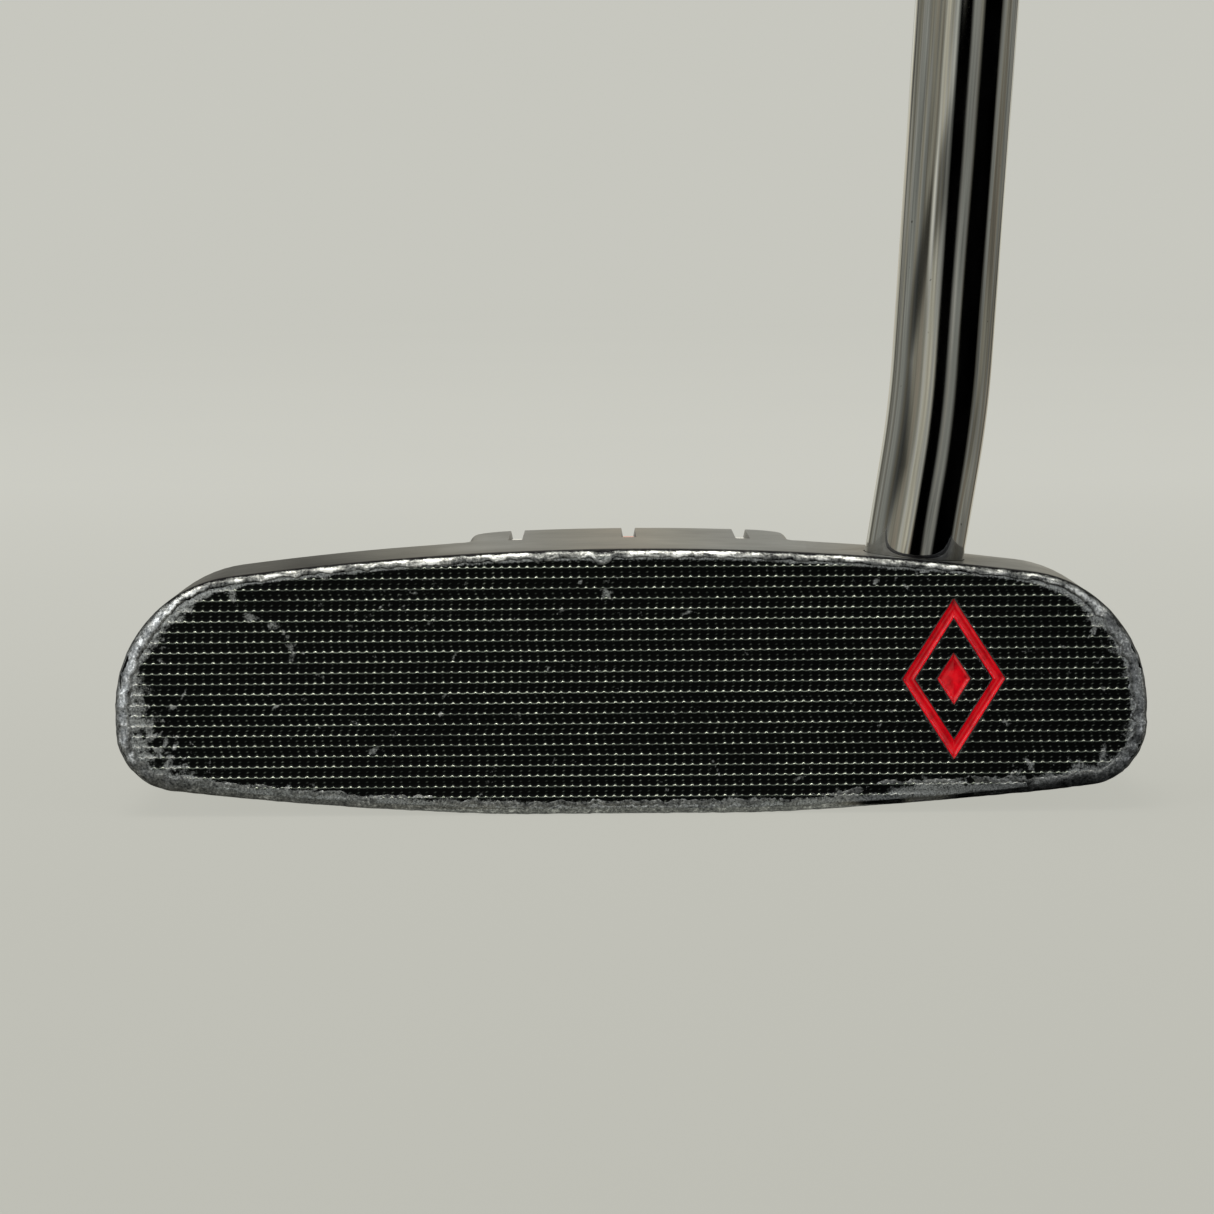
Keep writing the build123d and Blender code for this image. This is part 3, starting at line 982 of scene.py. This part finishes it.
    def build(self) -> list[bpy.types.Object]:
        """Builds and dresses every piece of the head."""
        face_finish = MilledFaceSteel().make()
        body_finish = TurnedBodySteel().make()
        red = PaintFill("red_gloss_enamel", "#bf0011", "#8e000b").make()
        white = PaintFill("white_gloss_enamel", "#f2f1ea", "#d6d6cf").make()
        body = self.build_body(body_finish)
        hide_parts("head_body")
        face = MilledFace(self.outline, self.mark).build(face_finish)
        rim = WornEdge(self.outline).build(RubbedRimSteel().make())
        enamel = self.build_enamel(red)
        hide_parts("face_mark_enamel")
        dress("centre_sight_enamel", red)
        dress("outer_sight_enamel", white)
        return [body, face, rim, enamel]


def dress(node: str, finish: bpy.types.Material) -> None:
    """Gives a carried-over CAD node its finish."""
    mesh = frame["nodes"][node].data
    mesh.materials.clear()
    mesh.materials.append(finish)


# ---------------------------------------------------------------- shaft


@dataclass
class Shaft:
    """The chromed tube: two bends near the head, then steps up to the butt.

    Sizes are millimetres; the route is the tube's own design.
    """

    mouth: tuple[float, float, float] = (27.1, -14.283, 23.573)
    tip_lean: tuple[float, float] = (0.150, -0.130)
    middle_lean: tuple[float, float] = (0.045, -0.200)
    main_lean: tuple[float, float] = (0.344, 0.0)
    bore_depth: float = 17.5
    first_bend: float = 14.0
    second_bend: float = 66.0
    first_radius: float = 85.0
    second_radius: float = 62.0
    tip_radius: float = 4.7
    butt_radius: float = 7.35
    plain_run: float = 120.0
    step_count: int = 9
    step_run: float = 38.0
    step_cone: float = 1.5
    cap_thick: float = 5.0
    sides: int = 96

    def corners(self) -> tuple[np.ndarray, np.ndarray]:
        """Corner points of the route, and the direction of the main run."""
        mouth = np.array(self.mouth)
        tip = np.array([*self.tip_lean, 1.0])
        middle = np.array([*self.middle_lean, 1.0])
        main = np.array([*self.main_lean, 1.0])
        main /= np.linalg.norm(main)
        end = mouth - tip / np.linalg.norm(tip) * self.bore_depth
        bend_1 = mouth + tip * self.first_bend
        bend_2 = bend_1 + middle * (self.second_bend - self.first_bend)
        start = bend_2 + main * self.second_radius * 0.5
        return np.array([end, bend_1, bend_2, start]), main

    def centre_line(self) -> tuple[np.ndarray, np.ndarray, np.ndarray]:
        """Points of the tube's axis, with straight runs joined by tangent arcs.

        Returns:
            Axis points, unit directions, and the distance along the main run, which is
            negative before it.
        """
        points, main = self.corners()
        runs = np.diff(points, axis=0)
        runs /= np.linalg.norm(runs, axis=1)[:, None]
        line, way = [points[:1]], [runs[:1]]
        for corner, radius in ((1, self.first_radius), (2, self.second_radius)):
            before, after = runs[corner - 1], runs[corner]
            turn = math.acos(float(before @ after))
            inward = (after - before) / np.linalg.norm(after - before)
            middle = points[corner] + inward * radius / math.cos(turn / 2)
            axis = np.cross(before, after)
            axis /= np.linalg.norm(axis)
            start = points[corner] - before * radius * math.tan(turn / 2) - middle
            swing = np.linspace(0, turn, 28)[:, None]
            line.append(middle + start * np.cos(swing) + np.cross(axis, start) * np.sin(swing))
            way.append((np.cross(axis, start) * np.cos(swing) - start * np.sin(swing)) / radius)
        steps = self.plain_run + np.arange(self.step_count) * self.step_run
        even = np.linspace(8, self.main_run(), 60)
        even = even[np.abs(even[:, None] - steps[None, :]).min(1) > 3]
        stops = np.sort(np.concatenate([[0.0], steps, steps + self.step_cone, even]))
        line.append(points[3] + stops[:, None] * main)
        way.append(np.broadcast_to(main, (len(stops), 3)))
        before_main = sum(len(part) for part in line[:-1])
        along = np.concatenate([np.full(before_main, -1.0), stops])
        return np.concatenate(line), np.concatenate(way), along

    def main_run(self) -> float:
        """Length of the straight run, from the end of the bends to the grip's cap."""
        mount = next(m for m in frame["record"]["mounts"] if m["name"] == "butt_face")
        points, main = self.corners()
        reach = (np.array(mount["pos_m"]) / MM - points[3]) @ main
        return float(reach) - self.cap_thick

    def radii(self, along: np.ndarray) -> np.ndarray:
        """Outer radius along the main run: one short cone up at each step."""
        steps = self.plain_run + np.arange(self.step_count) * self.step_run
        rise = np.clip((along[:, None] - steps[None, :]) / self.step_cone, 0, 1).sum(1)
        return self.tip_radius + (self.butt_radius - self.tip_radius) * rise / self.step_count

    def build(self) -> bpy.types.Object:
        """Carries a circle along the axis and closes both ends with a flat fan."""
        centre, direction, along = self.centre_line()
        radius = self.radii(along)
        across = np.cross(direction, np.array([1.0, 0.0, 0.0]))
        across /= np.linalg.norm(across, axis=1)[:, None]
        beside = np.cross(direction, across)
        angle = np.arange(self.sides) * 2 * math.pi / self.sides
        ring = (
            across[:, None, :] * np.cos(angle)[None, :, None]
            + beside[:, None, :] * np.sin(angle)[None, :, None]
        )
        points = centre[:, None, :] + ring * radius[:, None, None]
        count = len(centre)
        ends = np.array([centre[0], centre[-1]])
        every = np.concatenate([points.reshape(-1, 3), ends]) * MM
        walls = ring_faces(count, self.sides)
        side = np.arange(self.sides)
        ahead = (side + 1) % self.sides
        foot = np.stack([np.full(self.sides, count * self.sides), ahead, side], -1)
        top = (count - 1) * self.sides
        cap = np.stack([np.full(self.sides, count * self.sides + 1), top + side, top + ahead], -1)
        piece = mesh_piece("chromed_shaft", every, [walls, foot, cap], ChromedTube().make())
        piece.data.set_sharp_from_angle(angle=math.radians(30))
        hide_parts("shaft")
        return piece


# ---------------------------------------------------------------- grip


@dataclass
class Grip:
    """The pistol grip: thumb flat in front, palm swell at the butt, moulded chevrons."""

    shaft: Shaft
    length: float = 262.0
    sections: tuple = (
        (0.0, 20.4, 8.2, 10.2),
        (70.0, 21.4, 8.7, 10.9),
        (150.0, 23.2, 9.4, 12.2),
        (210.0, 25.6, 10.0, 15.4),
        (240.0, 26.6, 10.3, 17.2),
        (262.0, 26.8, 10.4, 16.6),
    )
    sides: int = 120
    rings: int = 640
    groove: float = 0.28
    pitch: float = 4.0

    def build(self) -> list[bpy.types.Object]:
        """Builds the sleeve and its end cap.

        The section is a half ellipse at the back and, in front, two quarter ellipses that
        meet a flat.  Chevron grooves follow the distance along the grip plus a share of
        the distance round it, inside a plain border.
        """
        rubber = MouldedStock("black_moulded_rubber", "#1c1c1d", "#111112", 0.5, 0.72, 0.04).make()
        cap_finish = MouldedStock("black_smooth_rubber", "#202021", "#151516", 0.8, 0.5, 0.02).make()
        corners, main = self.shaft.corners()
        run = self.shaft.main_run()
        low = corners[3] + main * (run - self.length)
        table = np.array(self.sections)
        s = np.linspace(0, self.length, self.rings)
        width, thumb, back = [np.interp(s, table[:, 0], table[:, k]) for k in (1, 2, 3)]
        across = np.array([0.0, 1.0, 0.0])
        front = np.cross(main, across)
        angle = np.arange(self.sides) * 2 * math.pi / self.sides
        half = width[:, None] / 2
        reach_y = half * 0.6 * np.sign(np.cos(angle))[None, :]
        flat_part = np.sin(angle)[None, :] > 0
        curve = np.where(flat_part, half * 0.4, half)
        cos, sin = np.cos(angle)[None, :], np.sin(angle)[None, :]
        u = np.where(flat_part, reach_y + curve * cos, half * cos)
        v = np.where(flat_part, thumb[:, None] * sin, back[:, None] * sin)
        round_way = angle[None, :] / (2 * math.pi) * 70
        fold = np.abs(np.mod(round_way / 8.75 + 0.5, 2) - 1) * 7
        phase = np.mod((s[:, None] + fold) / self.pitch, 1)
        cut = np.exp(-(((phase - 0.5) * self.pitch / 0.55) ** 2))
        frame_band = smooth_step(10, 14, s)[:, None] * smooth_step(10, 14, self.length - s)[:, None]
        shrink = 1 - self.groove * cut * frame_band / 11.0
        lip = 1 + 0.035 * np.exp(-(((s - 1.6) / 1.1) ** 2))[:, None] - 0.05 * np.exp(-(s / 0.5))[:, None]
        u, v = u * shrink * lip, v * shrink * lip
        points = low + s[:, None, None] * main + u[..., None] * across + v[..., None] * front
        ends = np.array([low, low + main * self.length])
        every = np.concatenate([points.reshape(-1, 3), ends]) * MM
        side = np.arange(self.sides)
        ahead = (side + 1) % self.sides
        total = self.rings * self.sides
        foot = np.stack([np.full(self.sides, total), ahead, side], -1)
        top = total - self.sides
        cap = np.stack([np.full(self.sides, total + 1), top + side, top + ahead], -1)
        sleeve = mesh_piece("grip_sleeve", every, [ring_faces(self.rings, self.sides), foot, cap], rubber)
        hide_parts("grip")
        dress("grip_cap", cap_finish)
        return [sleeve]


# ---------------------------------------------------------------- studio


@dataclass
class Studio:
    """Pale cove, soft light and the camera; millimetre sizes are given as metres here."""

    wall: str = "#30302f"
    # the cove's glow behind and near the front; the dimmer front is a painted fall-off of light
    glow: str = "#c4c4bc"
    near_glow_painted_falloff: str = "#b2b2a9"
    card_radius: float = 0.11
    card_foot: float = 0.0006
    # each card: turn from the camera and half width in degrees, and brightness
    card_set: tuple = (
        (180, 35, 0.60),
        (-90, 50, 0.25),
        (-35, 15, 0.45),
        (20, 10, 0.25),
        (110, 30, 0.20),
    )
    card_edge: float = 5.0
    cloth_height: float = 0.0275
    cloth_drop: float = 0.0080
    cloth_turn: float = -57.0
    cloth_span: float = 38.0
    slit_turn: float = -48.0
    slit_span: float = 4.5
    window_turn: float = -9.0
    window_height: float = 0.056
    distance: float = 0.2975
    elevation: float = math.radians(6.0)
    roll: float = math.radians(0.4)
    target: tuple[float, float, float] = (-0.0022, -0.021, 0.01946)
    lens_mm: float = 94.448
    sensor_mm: float = 36.0
    cove_radius: float = 3.0
    cove_round: float = 1.2
    cove_top: float = 3.0

    def cove(self) -> bpy.types.Object:
        """Builds the cove by turning a floor, a quarter circle and a wall about Z."""
        angle = np.linspace(0, math.pi / 2, 24)
        wall_radius = self.cove_radius + self.cove_round
        curve = self.cove_radius + self.cove_round * np.sin(angle)
        r = np.concatenate([[0.0, 0.4, 1.5], curve, [wall_radius]])
        z = np.concatenate([[0.0, 0.0, 0.0], self.cove_round * (1 - np.cos(angle)), [self.cove_top]])
        turn = np.arange(96) * 2 * math.pi / 96
        points = np.stack(
            np.broadcast_arrays(r[:, None] * np.cos(turn), r[:, None] * np.sin(turn), z[:, None]), -1
        ).reshape(-1, 3)
        material, tree, shader = new_material("pale_painted_cove")
        place = add_node(tree, "ShaderNodeTexCoord").outputs["Object"]
        mottle = add_node(tree, "ShaderNodeTexNoise", {"Scale": 3.0, "Detail": 3.0}, {"Vector": place})
        tone = add_node(
            tree, "ShaderNodeValToRGB", None, {0: mottle.outputs["Fac"]},
            [(0.3, self.wall), (0.7, "#2c2c2b")],
        ).outputs[0]
        tree.links.new(tone, shader.inputs["Base Color"])
        shader.inputs["Roughness"].default_value = 0.9
        shader.inputs["Specular IOR Level"].default_value = 0.0
        # painted fall-off: the glow dims towards the front, standing in for light falling off away from the
        # lamps
        apart = add_node(tree, "ShaderNodeSeparateXYZ", None, {0: place}).outputs["Y"]
        span = {"From Min": -0.25, "From Max": 0.45}
        reach = add_node(tree, "ShaderNodeMapRange", span, {"Value": apart}).outputs[0]
        glow = add_node(
            tree, "ShaderNodeValToRGB", None, {0: reach}, [(0.0, self.near_glow_painted_falloff), (1.0, self.glow)]
        ).outputs[0]
        tree.links.new(glow, shader.inputs["Emission Color"])
        shader.inputs["Emission Strength"].default_value = 1.0
        cove = mesh_piece("cove", points, [ring_faces(len(r), 96)[:, ::-1]], material)
        return cove

    def cards(self) -> bpy.types.Object:
        """Stands grey and black cards close round the shaft for the chrome to mirror.

        The surface is a disc on the floor that turns up into a wall, sheared so that it
        follows the shaft's lean.  Over the turn round the shaft it is black, but for five
        soft-edged cards, a little uneven with height.  Only reflections see it.
        """
        turn = np.linspace(-180, 180, 721)[:-1]
        rise = np.concatenate([np.linspace(0.003, 0.09, 48), np.linspace(0.10, 0.95, 24)])
        flare = self.card_radius + np.clip(rise - 0.10, 0, None) * 0.4
        radius = np.concatenate([[0.004], np.linspace(0.012, self.card_radius, 12), flare])
        height = np.concatenate([np.full(13, self.card_foot), rise])
        points, main = Shaft().corners()
        knots = points * MM
        far = knots[-1] + main * 1.2
        path = np.vstack([knots, far])
        cx = np.interp(height, path[:, 2], path[:, 0])[:, None]
        cy = np.interp(height, path[:, 2], path[:, 1])[:, None]
        x = cx + radius[:, None] * np.sin(np.radians(turn))
        y = cy - radius[:, None] * np.cos(np.radians(turn))
        points = np.stack(np.broadcast_arrays(x, y, height[:, None]), -1).reshape(-1, 3)
        material, tree, shader = new_material("studio_cards")
        level = add_node(tree, "ShaderNodeAttribute", {"attribute_name": "tone"}).outputs["Fac"]
        shader.inputs["Base Color"].default_value = (0, 0, 0, 1)
        shader.inputs["Roughness"].default_value = 1.0
        shader.inputs["Specular IOR Level"].default_value = 0.0
        hue = add_node(tree, "ShaderNodeAttribute", {"attribute_name": "hue"}).outputs["Fac"]
        tint = add_node(
            tree, "ShaderNodeValToRGB", None, {0: hue},
            [(0.25, "#eceee4"), (0.42, "#fffdf2"), (0.58, "#fbf6e0"), (0.75, "#f4e6d0")],
        ).outputs[0]
        tree.links.new(tint, shader.inputs["Emission Color"])
        tree.links.new(level, shader.inputs["Emission Strength"])
        ring = mesh_piece("studio_cards", points, [ring_faces(len(height), len(turn))], material)
        way = np.cumsum(np.r_[0, np.hypot(np.diff(radius), np.diff(height))])[:, None]
        wander = 5 * (ridge_noise(way * 30, turn[None, :] / 25 + 50, 73) - 0.5)
        uneven = 0.25 + 1.5 * ridge_noise((turn[None, :] + wander) / 5 + 40, way * 60, 71)
        value = np.zeros(uneven.shape)
        for middle, half, brightness in self.card_set:
            away = np.abs(np.mod(turn[None, :] + wander - middle + 180, 360) - 180)
            card = 1 - smooth_step(half - self.card_edge, half + self.card_edge, away)
            value = np.maximum(value, brightness * card)
        # a dark cloth hangs across the left side, with a bright gap beside it
        hang = np.exp(-(((height[:, None] - self.cloth_height) / self.cloth_drop) ** 4))
        cloth = hang * np.exp(-(((turn[None, :] - self.cloth_turn) / self.cloth_span) ** 4))
        slit = hang * np.exp(-(((turn[None, :] - self.slit_turn) / self.slit_span) ** 2))
        window = np.exp(-(((turn[None, :] - self.window_turn) / 4.0) ** 2))
        window = window * np.exp(-(((height[:, None] - self.window_height) / 0.006) ** 2))
        value = value * (1 - 0.85 * cloth) + 0.60 * slit + 0.9 * window
        set_attribute(ring, "tone", (value * uneven).ravel())
        set_attribute(ring, "hue", ridge_noise((turn[None, :] + wander) / 9 + 60, way * 18, 79).ravel())
        for sight in ("camera", "diffuse", "shadow", "transmission", "volume_scatter"):
            setattr(ring, f"visible_{sight}", False)
        return ring

    def light(self, name: str, place: tuple, aim: tuple, size: tuple, watts: float, tint: str) -> None:
        """Adds one soft rectangular light.

        Args:
            name: the light's name.
            place: position in metres.
            aim: point that it faces.
            size: width and height in metres.
            watts: power.
            tint: hex colour.
        """
        data = bpy.data.lights.new(name, "AREA")
        data.shape = "RECTANGLE"
        data.size, data.size_y = size
        data.energy = watts
        data.color = linear(tint)[:3]
        lamp = bpy.data.objects.new(name, data)
        lamp.location = place
        lamp.rotation_euler = (Vector(aim) - Vector(place)).to_track_quat("-Z", "Y").to_euler()
        bpy.context.scene.collection.objects.link(lamp)

    def camera(self) -> None:
        """Places the camera in front of the face, a little above the head."""
        data = bpy.data.cameras.new("camera")
        data.sensor_width = self.sensor_mm
        data.lens = self.lens_mm
        data.clip_start = 0.01
        camera = bpy.data.objects.new("camera", data)
        target = Vector(self.target)
        look = Vector((0, math.cos(self.elevation), -math.sin(self.elevation)))
        turn = look.to_track_quat("-Z", "Y").to_matrix().to_4x4()
        place = Matrix.Translation(target - look * self.distance)
        camera.matrix_world = place @ turn @ Matrix.Rotation(-self.roll, 4, "Z")
        bpy.context.scene.collection.objects.link(camera)
        bpy.context.scene.camera = camera

    def build(self) -> None:
        """Sets up the whole studio."""
        self.cove()
        self.cards()
        self.light("overhead", (-0.25, -0.15, 1.5), (0, 0, 0), (0.8, 0.8), 30.0, "#fffaf2")
        self.light("left_fill", (-1.2, -0.7, 0.45), (0, 0, 0.05), (0.8, 0.8), 20.0, "#f4f7ff")
        self.light("right_fill", (1.2, -0.7, 0.45), (0, 0, 0.05), (0.8, 0.8), 14.0, "#f4f7ff")
        world = bpy.data.worlds.new("studio")
        world.use_nodes = True
        back = world.node_tree.nodes["Background"]
        back.inputs[0].default_value = linear("#f1f3ea")
        back.inputs[1].default_value = 0.7
        bpy.context.scene.world = world
        bpy.context.scene.view_settings.view_transform = "Standard"
        self.camera()


# ---------------------------------------------------------------- the putter


def dress_hidden_pieces() -> None:
    """Gives the bonded and taped pieces inside the club their finishes."""
    dress("shaft_bond", MouldedStock("cured_epoxy", "#8b8468", "#6f6952", 0.4, 0.3).make())
    dress("shaft_tip_plug", MouldedStock("moulded_nylon_plug", "#dcdad0", "#c4c2b8", 0.6, 0.55).make())
    dress("grip_tape", MouldedStock("crepe_paper_tape", "#c9bd98", "#ab9f7c", 0.35, 0.85).make())


def main() -> None:
    """Builds the club, rides it on the part and sets up the studio."""
    logging.basicConfig(level=logging.INFO, format="%(name)s: %(message)s")
    shaft = Shaft()
    pieces = Head().build() + [shaft.build()] + Grip(shaft).build()
    dress_hidden_pieces()
    for piece in pieces:
        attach(piece, "root")
        LOG.info("%s: %d faces", piece.name, len(piece.data.polygons))
    Studio().build()
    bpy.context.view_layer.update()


if __name__ == "__main__":
    main()
